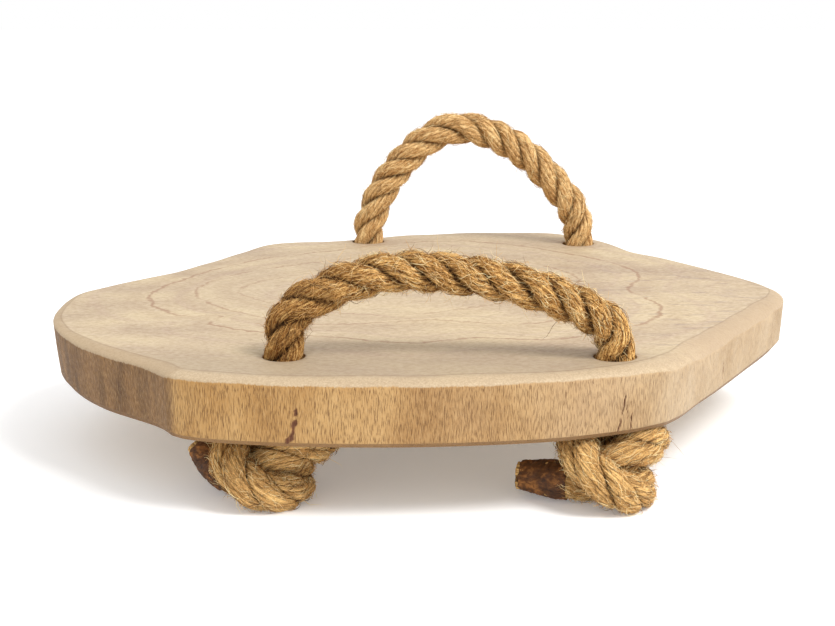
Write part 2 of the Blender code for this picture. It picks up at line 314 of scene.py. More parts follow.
class Graph:
    """Builds a material's nodes: each method adds one and returns its output socket."""

    def __init__(self, name):
        self.material = bpy.data.materials.new(name)
        self.material.use_nodes = True
        self.tree = self.material.node_tree
        self.shader = self.tree.nodes["Principled BSDF"]

    def feed(self, socket, value):
        if isinstance(value, bpy.types.NodeSocket):
            self.tree.links.new(value, socket)
        elif value is not None:
            socket.default_value = value

    def attribute(self, name, vector=False):
        node = self.tree.nodes.new("ShaderNodeAttribute")
        node.attribute_name = name
        return node.outputs["Vector" if vector else "Fac"]

    def place(self):
        return self.tree.nodes.new("ShaderNodeTexCoord").outputs["Object"]

    def stretched(self, vector, per_x, per_y, per_z):
        """vector divided by a feature's size along each axis, in metres."""
        node = self.tree.nodes.new("ShaderNodeVectorMath")
        node.operation = "MULTIPLY"
        self.feed(node.inputs[0], vector)
        node.inputs[1].default_value = (1 / per_x, 1 / per_y, 1 / per_z)
        return node.outputs[0]

    def noise(self, vector, detail=3.0, roughness=0.5, distortion=0.0):
        node = self.tree.nodes.new("ShaderNodeTexNoise")
        self.feed(node.inputs["Vector"], vector)
        node.inputs["Scale"].default_value = 1.0
        node.inputs["Detail"].default_value = detail
        node.inputs["Roughness"].default_value = roughness
        node.inputs["Distortion"].default_value = distortion
        return node.outputs["Fac"]

    def math(self, operation, a, b=None):
        node = self.tree.nodes.new("ShaderNodeMath")
        node.operation = operation
        for socket, value in zip(node.inputs, (a, b), strict=False):
            self.feed(socket, value)
        return node.outputs[0]

    def between(self, value, low, high, to_low=0.0, to_high=1.0):
        """value eased from low..high to to_low..to_high."""
        node = self.tree.nodes.new("ShaderNodeMapRange")
        node.interpolation_type = "SMOOTHSTEP"
        for key, number in zip(("Value", "From Min", "From Max", "To Min", "To Max"),
                               (value, low, high, to_low, to_high), strict=True):
            self.feed(node.inputs[key], number)
        return node.outputs[0]

    def mix(self, share, a, b, blend="MIX"):
        node = self.tree.nodes.new("ShaderNodeMix")
        node.data_type = "RGBA"
        node.blend_type = blend
        self.feed(node.inputs["Factor"], share)
        for key, value in (("A", a), ("B", b)):
            socket = [s for s in node.inputs if s.name == key and s.type == "RGBA"][0]
            self.feed(socket, (*value, 1.0) if isinstance(value, tuple) else value)
        return [s for s in node.outputs if s.type == "RGBA"][0]

    def ramp(self, value, *stops):
        """Colours at positions 0 to 1."""
        node = self.tree.nodes.new("ShaderNodeValToRGB")
        self.feed(node.inputs[0], value)
        ramp = node.color_ramp
        while len(ramp.elements) < len(stops):
            ramp.elements.new(0.5)
        for element, (position, colour) in zip(ramp.elements, stops, strict=True):
            element.position = position
            element.color = (*colour, 1.0)
        return node.outputs[0]

    def bump(self, height, depth, strength=1.0):
        node = self.tree.nodes.new("ShaderNodeBump")
        node.inputs["Strength"].default_value = strength
        node.inputs["Distance"].default_value = depth
        self.feed(node.inputs["Height"], height)
        return node.outputs[0]

    def combine(self, x):
        """A vector that holds x alone."""
        node = self.tree.nodes.new("ShaderNodeCombineXYZ")
        self.feed(node.inputs[0], x)
        return node.outputs[0]

    def finish(self, colour, roughness, normal=None, specular=0.5):
        self.feed(self.shader.inputs["Base Color"], colour)
        self.feed(self.shader.inputs["Roughness"], roughness)
        self.feed(self.shader.inputs["Normal"], normal)
        self.shader.inputs["Specular IOR Level"].default_value = specular
        return self.material


def srgb(red, green, blue):
    """A linear colour from 0..255 screen values."""
    def linear(c):
        c = c / 255
        return c / 12.92 if c <= 0.04045 else ((c + 0.055) / 1.055) ** 2.4

    return linear(red), linear(green), linear(blue)


def wood_material():
    g = Graph("sawn_trunk")
    place = g.place()
    side, base = g.attribute("side"), g.attribute("base")
    tone, crack, ring, rim = (g.attribute(k) for k in ("tone", "crack", "ring", "rim"))

    # The sawn top: pale, mottled, with faint year rings
    blotches = g.noise(g.stretched(place, 0.09, 0.05, 0.05), 3, 0.55)
    top = g.ramp(
        blotches,
        (0.30, srgb(182, 160, 134)), (0.48, srgb(201, 180, 149)), (0.66, srgb(212, 192, 156)),
    )
    wobble = g.noise(g.stretched(place, 0.03, 0.03, 0.03), 3, 0.6)
    ringed = g.math("ADD", ring, g.math("MULTIPLY", wobble, 0.10))
    broad = g.noise(g.stretched(g.combine(ringed), 0.11, 1, 1), 2, 0.6)
    top = g.mix(g.between(broad, 0.50, 0.72, 0, 0.50), top, srgb(186, 160, 140))
    streaks = g.noise(g.stretched(place, 0.022, 0.006, 0.01), 4, 0.6)
    greyed = g.math("MULTIPLY", g.between(streaks, 0.50, 0.74, 0, 0.7), g.attribute("grey"))
    top = g.mix(greyed, top, srgb(158, 138, 126))
    grain = g.noise(g.stretched(place, 0.0035, 0.0016, 0.002), 3, 0.65)
    top = g.mix(g.between(grain, 0.42, 0.75, 0, 0.5), top, srgb(160, 134, 106))
    top = g.mix(g.between(grain, 0.56, 0.30, 0, 0.25), top, srgb(226, 208, 178))
    strength = g.noise(g.stretched(place, 0.030, 0.030, 0.030), 2, 0.5)
    wander = g.noise(g.stretched(place, 0.009, 0.009, 0.009), 3, 0.6)
    for key, width, most in (("ring_1", 2.6, 0.62), ("ring_2", 2.2, 0.5), ("ring_3", 2.0, 0.4)):
        shift = g.math("MULTIPLY", g.math("SUBTRACT", wander, 0.5), 11 * MM)
        off = g.math("ADD", g.attribute(key), shift)
        line = g.between(g.math("ABSOLUTE", off), width * MM, 0.2 * MM, 0.0, most)
        line = g.math("MULTIPLY", line, g.between(strength, 0.30, 0.50, 0.25, 1.0))
        top = g.mix(line, top, srgb(150, 108, 82))
        inner = g.math("MULTIPLY", g.between(off, 0.0, 9 * MM), g.between(off, 26 * MM, 9 * MM))
        top = g.mix(g.math("MULTIPLY", inner, 0.20), top, srgb(158, 128, 104))
    top = g.mix(g.math("MULTIPLY", g.attribute("front"), 0.5), top, srgb(156, 137, 114))

    # The bark-less side: golden, with long pores that run down the trunk
    tan = g.ramp(
        g.noise(g.stretched(place, 0.03, 0.03, 0.05), 3, 0.5),
        (0.30, srgb(160, 116, 60)), (0.50, srgb(178, 135, 78)), (0.70, srgb(194, 153, 96)),
    )
    grey_tan = g.ramp(
        g.noise(g.stretched(place, 0.012, 0.012, 0.05), 4, 0.6),
        (0.28, srgb(94, 66, 38)), (0.50, srgb(128, 94, 56)), (0.72, srgb(148, 110, 66)),
    )
    pale_tan = g.ramp(
        g.noise(g.stretched(place, 0.02, 0.02, 0.05), 3, 0.5),
        (0.30, srgb(178, 150, 114)), (0.50, srgb(190, 164, 130)), (0.70, srgb(197, 173, 141)),
    )
    flank = g.mix(g.between(tone, 0.0, 0.6), tan, pale_tan)
    # Greyer towards the left end: partly the wood's own colour, partly painted shade.
    flank = g.mix(g.between(tone, -0.05, -0.7), flank, grey_tan)
    pores = g.noise(g.stretched(place, 0.00034, 0.00034, 0.0048), 1, 0.4)
    depth = g.between(tone, -0.1, 0.8, 1.0, 0.35)
    dark = g.math("MULTIPLY", g.between(pores, 0.56, 0.68), depth)
    flank = g.mix(g.math("MULTIPLY", dark, 0.75), flank, srgb(96, 60, 28))
    light = g.between(pores, 0.44, 0.30, 0, 0.25)
    flank = g.mix(light, flank, srgb(216, 184, 134))

    # Where the worn rim turns into the side
    ragged = g.noise(g.stretched(place, 0.0016, 0.0016, 0.004), 3, 0.7)
    edge = g.math("ADD", side, g.math("MULTIPLY", g.math("SUBTRACT", ragged, 0.5), 0.55))
    upper = rim_colour(g, top, rim, place)
    sunny = g.math("MULTIPLY", g.between(tone, 0.4, 0.9, 0, 0.75), g.between(rim, 0.9, 1.2))
    upper = g.mix(sunny, upper, srgb(178, 154, 126))
    shaded = g.math("MULTIPLY", g.between(tone, -0.2, -0.7, 0, 0.5), g.between(rim, 0.7, 1.1))
    upper = g.mix(shaded, upper, srgb(170, 145, 114))
    body = g.mix(g.between(edge, 0.86, 1.10), upper, flank)
    body = g.mix(g.between(base, 0.25, 0.5, 0, 0.7), body, srgb(126, 92, 56))
    body = g.mix(g.between(crack, 0.12, 0.6, 0, 0.9), body, srgb(96, 50, 30))
    # The cracks' red-brown is the wood's own colour; their near-black middles are painted shade in
    # the gaps.
    body = g.mix(g.between(crack, 0.7, 1.0, 0, 0.85), body, srgb(58, 28, 18))

    body = g.mix(1.0, body, srgb(242, 241, 240), "MULTIPLY")  # dulled by handling

    fine = g.math("MULTIPLY", grain, g.between(side, 0.9, 1.5, 0.35, 0.0))
    grooves = g.math("MULTIPLY", g.between(pores, 0.70, 0.50), g.between(side, 0.9, 1.5))
    normal = g.bump(g.math("ADD", fine, grooves), 0.35 * MM, 0.75)
    rough = g.between(grain, 0.3, 0.7, 0.58, 0.74)
    return g.finish(body, rough, normal, specular=0.35)


def rim_colour(g, top, rim, place):
    """The top's colour with its worn, cleaner rim and the thin line that the rim starts at."""
    grit = g.noise(g.stretched(place, 0.0012, 0.0012, 0.0012), 3, 0.7)
    worn = g.mix(g.between(grit, 0.35, 0.65), srgb(188, 163, 130), srgb(220, 197, 161))
    body = g.mix(g.between(rim, 0.95, 1.5, 0, 0.55), top, worn)
    near = g.math("ABSOLUTE", g.math("SUBTRACT", rim, 1.0))
    return g.mix(g.between(near, 0.13, 0.0, 0, 0.45), body, srgb(132, 106, 80))


def jute_material(name, dark, mid, light, groove_shade):
    g = Graph(name)
    straight = g.attribute("straight", vector=True)
    place = g.place()
    crest, packed = g.attribute("crest"), g.attribute("packed")
    fibres = g.noise(g.stretched(straight, 0.0005, 0.0005, 0.0045), 3, 0.6)
    threads = g.noise(g.stretched(straight, 0.0016, 0.0016, 0.022), 2, 0.5)
    matted = g.noise(g.stretched(place, 0.0013, 0.0013, 0.0013), 3, 0.65, 1.2)
    value = g.math("ADD", g.math("MULTIPLY", fibres, 0.45), g.math("MULTIPLY", threads, 0.25))
    value = g.math("ADD", value, g.math("MULTIPLY", matted, 0.30))
    colour = g.ramp(value, (0.41, dark), (0.49, mid), (0.58, light))
    stain = g.noise(g.stretched(place, 0.018, 0.018, 0.018), 2, 0.5)
    colour = g.mix(g.between(stain, 0.62, 0.76, 0, 0.55), colour, srgb(84, 66, 40))
    # The knots are paler: partly cleaner rope, partly painted light.
    colour = g.mix(g.math("MULTIPLY", packed, 0.30), colour, srgb(232, 192, 130))
    # Painted shade on the left of the front handle, on the side away from the lamp.
    colour = g.mix(g.attribute("left_painted_shade"), colour, srgb(104, 62, 24))
    shade = g.between(crest, 0.0, 0.75, groove_shade, 0.0)
    colour = g.mix(shade, colour, srgb(58, 32, 12))
    height = g.math("ADD", g.math("ADD", fibres, matted), g.math("MULTIPLY", threads, 0.6))
    normal = g.bump(height, 0.7 * MM, 1.0)
    return g.finish(colour, 0.88, normal, specular=0.15)


def fibre_material(name, dark, mid, light):
    g = Graph(name)
    tone = g.attribute("tone")
    colour = g.ramp(tone, (0.0, dark), (0.45, mid), (1.0, light))
    return g.finish(colour, 0.62, specular=0.3)


def tape_material():
    g = Graph("brown_cloth_tape")
    place = g.place()
    creases = g.noise(g.stretched(place, 0.004, 0.004, 0.002), 4, 0.6, 0.6)
    dirt = g.noise(g.stretched(place, 0.012, 0.012, 0.012), 3, 0.6)
    colour = g.ramp(
        g.math("ADD", g.math("MULTIPLY", creases, 0.5), g.math("MULTIPLY", dirt, 0.5)),
        (0.36, srgb(44, 24, 10)), (0.50, srgb(92, 56, 26)), (0.64, srgb(162, 108, 56)),
    )
    normal = g.bump(creases, 0.8 * MM, 0.8)
    return g.finish(colour, g.between(dirt, 0.35, 0.65, 0.55, 0.78), normal, specular=0.3)


# ---------------------------------------------------------------- the slab

# Cracks in the slab's side: where along the edge (x, y), from and to (z), width, how far the
# lower end lies to the left, all in mm, and how dark each is (its darkest middle is painted shade)
CRACKS = [
    ((-76.5, -260), 69, 58, 2.4, 1.5, 1.0),
    ((-78, -260), 61, 48, 3.0, 3.5, 0.85),
    ((-81, -260), 52, 47, 2.6, 1.0, 0.8),
    ((112, -235), 70, 47, 1.0, 5.0, 0.9),
    ((115, -233), 66, 54, 0.8, -1.0, 0.7),
    ((118, -232), 58, 48, 1.0, 1.0, 0.9),
    ((189, -136), 66, 54, 1.5, 0.5, 0.95),
    ((238, -45), 72, 52, 1.4, 0.5, 0.4),
    ((-222, 36), 80, 50, 1.1, 1.0, 0.9),
    ((20, 258), 72, 46, 1.4, 2.0, 0.9),
]

# How the side changes round the slab, at angles from +X in degrees: its tone (-1 grey, 1 pale;
# the grey at the left end is partly the wood's own colour and partly painted shade), how deep
# and high its worn upper rim is, how far it leans in below, and its lower rim (mm).
AROUND = [
    # angle tone  depth height lean lower
    (-180, -0.7, 4, 2, 3.5, 7),
    (-163, -0.8, 4.5, 2, 3.5, 5.5),
    (-154, -1.1, 6, 2.8, 3.5, 5),
    (-144, -0.7, 7, 3.6, 3.0, 4),
    (-125, -0.65, 10, 4, 2.0, 3.5),
    (-122.3, -0.6, 10, 4, 1.4, 3.2),
    (-120.7, 0.0, 11, 3.5, 0.6, 3),
    (-105, 0.08, 12, 3.5, 0.3, 3),
    (-80, 0.22, 12, 3.5, 0.3, 3),
    (-62, 0.38, 12, 4, 0.6, 3),
    (-56, 0.55, 13, 6, 1.0, 3.5),
    (-40, 0.85, 13, 8, 1.2, 4),
    (-10, 0.8, 11, 7, 1.5, 7),
    (20, 0.4, 10, 6, 2.5, 6),
    (60, -0.1, 9, 5, 2.0, 4),
    (90, -0.3, 9, 5, 1.0, 3),
    (130, 0.1, 9, 5, 1.5, 4),
    (160, -0.5, 8, 5, 3.0, 6),
]
CORNERS = [(-152, -237), (141, -217)]  # upright ridges between the side's facets (mm)

# Year rings that stand out: each one's usual distance from the pith (mm), and where it swells
# or draws in, as (angle from +X, reach in degrees, height in mm).
YEAR_RINGS = {
    "ring_1": (178, [(-170, 22, 18), (-147, 3, -20), (-112, 14, -16), (-80, 12, -20),
                     (0, 18, -34), (80, 25, 32)]),
    "ring_2": (140, [(-90, 25, -38), (0, 40, -28), (180, 30, 25)]),
    "ring_3": (100, [(-60, 45, -32), (10, 35, -26), (180, 30, 34)]),
}


def ring_distance(angle, ring):
    """How far a year ring lies from the pith, at angles in radians."""
    usual, swells = ring
    distance = usual * MM
    for centre, reach, height in swells:
        away = np.degrees(np.angle(np.exp(1j * (angle - radians(centre)))))
        distance = distance + height * MM * np.exp(-((away / reach) ** 2))
    return distance


def around(angle, table, column):
    """Reads a table of values by angle, closing on itself."""
    angles = np.radians([row[0] for row in table])
    values = [row[column] for row in table]
    return np.interp(angle, [*angles, angles[0] + 2 * pi], [*values, values[0]])


def edge_positions(edge):
    """Where to put vertices along the slab's edge: closer together at cracks and corners."""
    along = lengths(edge)
    wanted = list(np.arange(0, along[-1], 1.8 * MM))
    for spot, reach, step in [
        *((c[0], 5 * MM, 0.35 * MM) for c in CRACKS), *((c, 8 * MM, 0.9 * MM) for c in CORNERS),
    ]:
        nearest = along[np.argmin(np.linalg.norm(edge - np.array(spot) * MM, axis=1))]
        wanted += list(np.arange(nearest - reach, nearest + reach, step))
    wanted = np.unique(np.round(np.array(wanted) % along[-1], 5))
    return wanted[np.r_[True, np.diff(wanted) > 0.2 * MM]], along


def slab_side(rng):
    """The rows of vertices from the top's edge, down the side and in under the slab."""
    edge = smooth_route([(x * MM, y * MM) for x, y in OUTLINE], 6000, closed=True)
    wanted, along = edge_positions(edge)
    x, y = (np.interp(wanted, along, c) for c in edge.T)
    tangent = unit(np.roll(edge[:-1], -3, axis=0) - np.roll(edge[:-1], 3, axis=0))
    tangent = np.vstack([tangent, tangent[:1]])
    tx, ty = (np.interp(wanted, along, c) for c in tangent.T)
    inward = unit(np.stack([ty, -tx], axis=1))
    angle = np.arctan2(y, x)
    tone, depth, height, lean, lower = (around(angle, AROUND, c) for c in range(1, 6))
    depth, height, lean, lower = (v * MM for v in (depth, height, lean, lower))
    full = along[-1]
    depth = depth * (1 + wave(rng, wanted, [full / 9, full / 17, full / 31], 0.10))
    height = height * (1 + wave(rng, wanted, [full / 7, full / 19, full / 37], 0.16))
    for corner in CORNERS:
        away = np.hypot(x - corner[0] * MM, y - corner[1] * MM)
        ridge = np.exp(-away / (7 * MM)) * 1.3 * MM
        x, y = x - inward[:, 0] * ridge, y - inward[:, 1] * ridge

    rows, attributes = [], {"side": [], "base": [], "rim": [], "tone": [], "crack": []}

    def row(inset, z, side, base, rim, wavy=0.0):
        dent = wavy * (
            wave(np.random.default_rng(5), wanted + z * 0.3, [19 * MM, 47 * MM], 0.22 * MM)
            + wave(np.random.default_rng(6), wanted - z * 0.2, [120 * MM], 0.4 * MM)
        )
        crack = np.zeros_like(x)
        for (cx, cy), top, bottom, width, slant, dark in CRACKS:
            share = (top * MM - z) / ((top - bottom) * MM)  # 0 at the crack's top, 1 at its foot
            inside = eased(share, -0.05, 0.08) * (1 - eased(share, 0.88, 1.04))
            from_spot = (x - cx * MM) * tx + (y - cy * MM) * ty
            away = np.hypot(x - cx * MM, y - cy * MM)
            jagged = 0.35 * MM * np.sin(share * 17 + cx)
            shift = (slant * (share - 0.5)) * MM + jagged
            half = width * MM / 2 * (0.3 + 0.7 * np.abs(np.sin(share * 5 + cy)))
            line = np.exp(-((from_spot - shift) / half) ** 2) * (away < 12 * MM)
            crack = np.maximum(crack, line * inside * dark)
        inset = inset + dent + crack**2 * 1.1 * MM
        rows.append(np.stack([
            x + inward[:, 0] * inset, y + inward[:, 1] * inset, np.broadcast_to(z, x.shape),
        ], axis=1))
        for key, value in (("side", side), ("base", base), ("rim", rim), ("tone", tone),
                           ("crack", crack)):
            attributes[key].append(np.broadcast_to(value, x.shape))

    row(depth + 3 * MM, TOP_Z, 0, 0, 0.55)
    row(depth + 0.8 * MM, TOP_Z, 0, 0, 0.88)
    for t in (0.0, 0.10, 0.24, 0.40, 0.56, 0.70, 0.82, 0.91, 0.97, 1.0):
        drop = height * (0.30 * t + 0.70 * (1 - (1 - t * t) ** 0.5))
        row(depth * (1 - t), TOP_Z - drop, 0.9 * t**3, 0, 1 + t)
    low = UNDERSIDE_Z + lower
    for t in np.linspace(0, 1, 19)[1:]:
        row(lean * t**1.3, (TOP_Z - height) * (1 - t) + low * t, 1 + 6 * t, max(0, t - 0.94) * 3, 2,
            wavy=min(1, 4 * t) * min(1, 5 * (1 - t) + 0.2))
    for t in (0.08, 0.25, 0.5, 0.75, 1.0):
        row(lean + lower * 0.8 * t, low - lower * t, 7, 0.3 + t, 2)
    row(lean + lower + 3 * MM, UNDERSIDE_Z, 7, 0.3, 2)
    return np.array(rows), {k: np.array(v) for k, v in attributes.items()}


def hole_ring(name, radius, z, segments=56):
    centre = hole_centre(name)
    turn = np.linspace(0, 2 * pi, segments, endpoint=False)
    shape = 1 + 0.012 * np.sin(2 * turn + centre[0] * 90) + 0.008 * np.sin(5 * turn)
    return np.stack([
        centre[0] + np.cos(turn) * radius * shape, centre[1] + np.sin(turn) * radius * shape,
        np.full(segments, z),
    ], axis=1)


def inside_loop(points, loop):
    """Which points lie inside a closed loop, both flat."""
    found = np.zeros(len(points), bool)
    after = np.roll(loop, -1, axis=0)
    for (x0, y0), (x1, y1) in zip(loop, after, strict=True):
        crossing = (y0 > points[:, 1]) != (y1 > points[:, 1])
        if y1 != y0:
            at = (x1 - x0) * (points[:, 1] - y0) / (y1 - y0) + x0
            found ^= crossing & (points[:, 0] < at)
    return found


def flat_face(loop, holes, spacing, z):
    """Triangles that fill a flat loop with round holes, with vertices inside it too."""
    low, high = loop.min(axis=0), loop.max(axis=0)
    xs, ys = np.arange(low[0], high[0], spacing), np.arange(low[1], high[1], spacing * 0.87)
    grid = np.array([
        (x + (spacing / 2 if i % 2 else 0), y) for i, y in enumerate(ys) for x in xs
    ])
    keep = inside_loop(grid, loop + (loop.mean(axis=0) - loop) * 0.012)
    for hole in holes:
        middle, radius = hole.mean(axis=0), np.linalg.norm(hole[0] - hole.mean(axis=0))
        keep &= np.linalg.norm(grid - middle, axis=1) > radius + spacing * 0.4
    grid = grid[keep]
    points, edges = [], []
    for ring in (loop, *holes):
        first = len(points)
        points += [tuple(p) for p in ring]
        edges += [(first + i, first + (i + 1) % len(ring)) for i in range(len(ring))]
    points += [tuple(p) for p in grid]
    made = geometry.delaunay_2d_cdt([Vector(p) for p in points], edges, [], 0, 1e-7)
    vertices, faces = np.array([tuple(v) for v in made[0]]), np.array(made[2])
    middles = vertices[faces].mean(axis=1)
    keep = inside_loop(middles, loop)
    for hole in holes:
        keep &= ~inside_loop(middles, hole)
    return np.column_stack([vertices, np.full(len(vertices), z)]), faces[keep]


def build_slab(material):
    rng = np.random.default_rng(11)
    rows, side_attributes = slab_side(rng)
    count = rows.shape[1]
    holes = [f"{side}_{end}" for side in ARCHES for end in ("left", "right")]
    mouth = HOLE_RADIUS + 0.9 * MM
    vertices, faces = [rows.reshape(-1, 3)], [grid_faces(len(rows), count)]
    attributes = {k: [v.ravel()] for k, v in side_attributes.items()}
    total = len(rows) * count

    def add(points, new_faces, **values):
        nonlocal total
        vertices.append(points)
        faces.append(new_faces + total)
        total += len(points)
        for key in attributes:
            attributes[key].append(np.broadcast_to(values.get(key, 0.0), len(points)))

    top = [hole_ring(n, mouth, TOP_Z) for n in holes]
    bottom = [hole_ring(n, mouth, UNDERSIDE_Z) for n in holes]
    points, triangles = flat_face(rows[0][:, :2], [h[:, :2] for h in top], 4.2 * MM, TOP_Z)
    add(points, triangles)
    points, triangles = flat_face(rows[-1][:, :2], [h[:, :2] for h in bottom], 9 * MM, UNDERSIDE_Z)
    add(points, triangles[:, ::-1])
    for name in holes:
        levels = [
            (mouth, TOP_Z), (HOLE_RADIUS + 0.25 * MM, TOP_Z - 0.35 * MM),
            (HOLE_RADIUS, TOP_Z - 1.1 * MM), (HOLE_RADIUS, TOP_Z - 12 * MM),
            (HOLE_RADIUS, UNDERSIDE_Z + 12 * MM), (HOLE_RADIUS, UNDERSIDE_Z + 1 * MM),
            (mouth, UNDERSIDE_Z),
        ]
        wall = np.array([hole_ring(name, radius, z) for radius, z in levels])
        side = np.repeat([0.0, 0.6, 1.2, 1.5, 1.5, 1.2, 0.0], wall.shape[1])
        add(wall.reshape(-1, 3), grid_faces(len(wall), wall.shape[1])[:, ::-1], side=side,
            rim=np.repeat([0.0, 1.6, 2, 2, 2, 2, 0], wall.shape[1]))

    vertices = np.concatenate(vertices)
    attributes = {k: np.concatenate(v) for k, v in attributes.items()}
    x, y, z = vertices.T
    on_top = eased(z, TOP_Z - 2 * MM, TOP_Z - 0.2 * MM)
    swell = wave(rng, x, [150 * MM, 90 * MM], 0.3 * MM) + wave(rng, y, [130 * MM, 70 * MM], 0.3 * MM)
    swell += wave(rng, x + y * 0.6, [55 * MM], 0.12 * MM)
    vertices[:, 2] += np.minimum(swell - 0.1 * MM, 0.4 * MM) * on_top
    angle, radius = np.arctan2(y, x), np.hypot(x, y)
    for key, ring in YEAR_RINGS.items():
        attributes[key] = radius - ring_distance(angle, ring)
    attributes["ring"] = radius / ring_distance(angle, YEAR_RINGS["ring_1"])
    attributes["grey"] = eased(x, 60 * MM, 130 * MM) * eased(y, 190 * MM, 40 * MM) * 0.9 + 0.25
    attributes["front"] = eased(-y, 165 * MM, 225 * MM)

    made = add_mesh("wooden_slab", vertices, faces, material, attributes, sharp=38)
    welded = bmesh.new()
    welded.from_mesh(made.data)
    bmesh.ops.remove_doubles(welded, verts=welded.verts, dist=0.005 * MM)
    bmesh.ops.recalc_face_normals(welded, faces=welded.faces)
    welded.to_mesh(made.data)
    welded.free()
    made.data.shade_smooth()
    made.data.set_sharp_from_angle(angle=radians(38))
    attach(made, "slab")
    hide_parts("slab")
    return made


# ---------------------------------------------------------------- the ropes


def moving_frames(route):
    """The direction of a line at each point, and two directions across it that don't twist."""
    along = unit(np.gradient(route, axis=0))
    across = np.zeros_like(along)
    start = np.cross(along[0], [0, 0, 1.0])
    across[0] = start if np.linalg.norm(start) > 0.1 else np.array([1.0, 0, 0])
    for i in range(1, len(route)):
        across[i] = across[i - 1] - along[i] * np.dot(across[i - 1], along[i])
        across[i] /= np.linalg.norm(across[i])
    return along, unit(across), np.cross(along, unit(across))


def rope_surface(route, radius, packed, rng):
    """Vertices of the strands by ring, strand and column, and how far out each is.

    packed is 1 where a knot presses the strands together, 0 where the rope is free.
    """
    packed = packed[:, None]
    along, across, up = moving_frames(route)
    s = lengths(route)
    twist = 2 * pi * s / LAY + wave(rng, s, [0.21, 0.11], 0.45)
    column = np.linspace(0, 2 * pi, COLUMNS, endpoint=False)
    points = np.zeros((len(route), STRANDS, COLUMNS, 3))
    crest = np.zeros((len(route), STRANDS, COLUMNS))
    for strand in range(STRANDS):
        around_rope = twist + 2 * pi * strand / STRANDS + wave(rng, s, [0.09, 0.05], 0.12)
        phi = column[None] - (2 * pi * s / YARN_TURN)[:, None]
        yarn = (column * YARNS / (2 * pi)).astype(int)
        lobe = np.abs(np.sin(column * YARNS / 2)) ** 0.7
        fat = np.array([
            wave(rng, s, [0.05, 0.023, 0.011], 0.22 * MM) for _ in range(YARNS)
        ])[yarn].T
        bump = 0.85 * MM * lobe[None] + fat - 0.5 * MM
        swell = 1 + wave(rng, s, [0.06, 0.035], 0.035)[:, None]
        scale = (radius / ROPE_RADIUS)[:, None]
        radial = STRAND_RADII[0] - 0.3 * MM * packed
        tangent = STRAND_RADII[1] + 0.9 * MM * packed
        u = (STRAND_OUT + (radial * swell + bump) * np.cos(phi)) * scale
        v = ((tangent * swell + bump) * np.sin(phi)) * scale
        u = np.maximum(u, 0.8 * MM)
        v = np.sign(v) * np.minimum(np.abs(v), 3**0.5 * u - 0.12 * MM)
        ca, sa = np.cos(around_rope)[:, None], np.sin(around_rope)[:, None]
        x, y = u * ca - v * sa, u * sa + v * ca
        points[:, strand] = (
            route[:, None] + x[..., None] * across[:, None] + y[..., None] * up[:, None]
        )
        out = np.hypot(u, v) / (ROPE_RADIUS * scale)
        crest[:, strand] = eased(out, 0.62, 0.98) * (0.45 + 0.55 * lobe[None] ** 0.5)
    return points, crest


def squashed(points, route, radius):
    """Flattens the rope where it crosses itself."""
    s = lengths(route)
    for i in range(len(route)):
        offset = points[i] - route[i]
        others = route - route[i]
        distance = np.linalg.norm(others, axis=1)
        near = (distance < 2.3 * radius[i]) & (np.abs(s - s[i]) > 3.2 * radius[i])
        for j in np.flatnonzero(near)[::3]:
            toward = others[j] / distance[j]
            beyond = offset @ toward - (distance[j] / 2 - 0.05 * MM)
            offset -= np.maximum(beyond, 0)[..., None] * toward
        points[i] = route[i] + offset
    return points


def keep_off_wood(points, centres):
    """Keeps the rope out of the floor, the slab's underside and the walls of its holes."""
    z = points[..., 2]
    z[...] = np.maximum(z, 0.15 * MM)
    for centre in centres:
        offset = points[..., :2] - centre[:2]
        away = np.linalg.norm(offset, axis=-1)
        within = (z > UNDERSIDE_Z - 1 * MM) & (z < TOP_Z + 1 * MM) & (away < 20 * MM)
        limit = HOLE_RADIUS - 0.45 * MM
        scale = np.where(within & (away > limit), limit / np.maximum(away, 1e-9), 1.0)
        points[..., :2] = centre[:2] + offset * scale[..., None]
    near = np.full(z.shape, False)
    for centre in centres:
        near |= np.linalg.norm(points[..., :2] - centre[:2], axis=-1) < HOLE_RADIUS
    below = (z > UNDERSIDE_Z - 0.3 * MM) & (z < (UNDERSIDE_Z + TOP_Z) / 2) & ~near
    z[...] = np.where(below, UNDERSIDE_Z - 0.3 * MM, z)
    return points


def strand_piece(name, points, crest, packed, s, material):
    """One closed tube for each strand, over a stretch of rope."""
    rings = len(points)
    vertices, quads, fans, straights, crests, packs = ([] for _ in range(6))
    column = np.linspace(0, 2 * pi, COLUMNS, endpoint=False)
    total = 0
    for strand in range(STRANDS):
        tube = points[:, strand].reshape(-1, 3)
        ends = np.array([points[0, strand].mean(axis=0), points[-1, strand].mean(axis=0)])
        vertices += [tube, ends]
        quads.append(grid_faces(rings, COLUMNS, total))
        j = np.arange(COLUMNS)
        after = (j + 1) % COLUMNS
        first, last = total + rings * COLUMNS, total + rings * COLUMNS + 1
        tail = total + (rings - 1) * COLUMNS
        fans.append(np.stack([np.full(COLUMNS, first), after + total, j + total], axis=1))
        fans.append(np.stack([np.full(COLUMNS, last), j + tail, after + tail], axis=1))
        straight = np.stack(np.broadcast_arrays(
            6 * MM * np.cos(column)[None] + 0.1 * strand, 6 * MM * np.sin(column)[None], s[:, None],
        ), axis=-1).reshape(-1, 3)
        straights += [straight, straight[[0, -1]]]
        crests += [crest[:, strand].ravel(), np.zeros(2)]
        packs += [np.repeat(packed, COLUMNS), packed[[0, -1]]]
        total += len(tube) + 2
    made = add_mesh(
        name, np.concatenate(vertices), [np.concatenate(quads), np.concatenate(fans)], material,
        {"straight": np.concatenate(straights), "crest": np.concatenate(crests),
         "packed": np.concatenate(packs), "left_painted_shade": painted_shade_share(np.concatenate(vertices))},
    )
    return made


def surface_normals(points):
    """Outward normals of each strand's grid of vertices, and the way each strand runs."""
    down = np.gradient(points, axis=0)
    turned = np.roll(points, -1, axis=2) - np.roll(points, 1, axis=2)
    return unit(np.cross(turned, down)), unit(down)


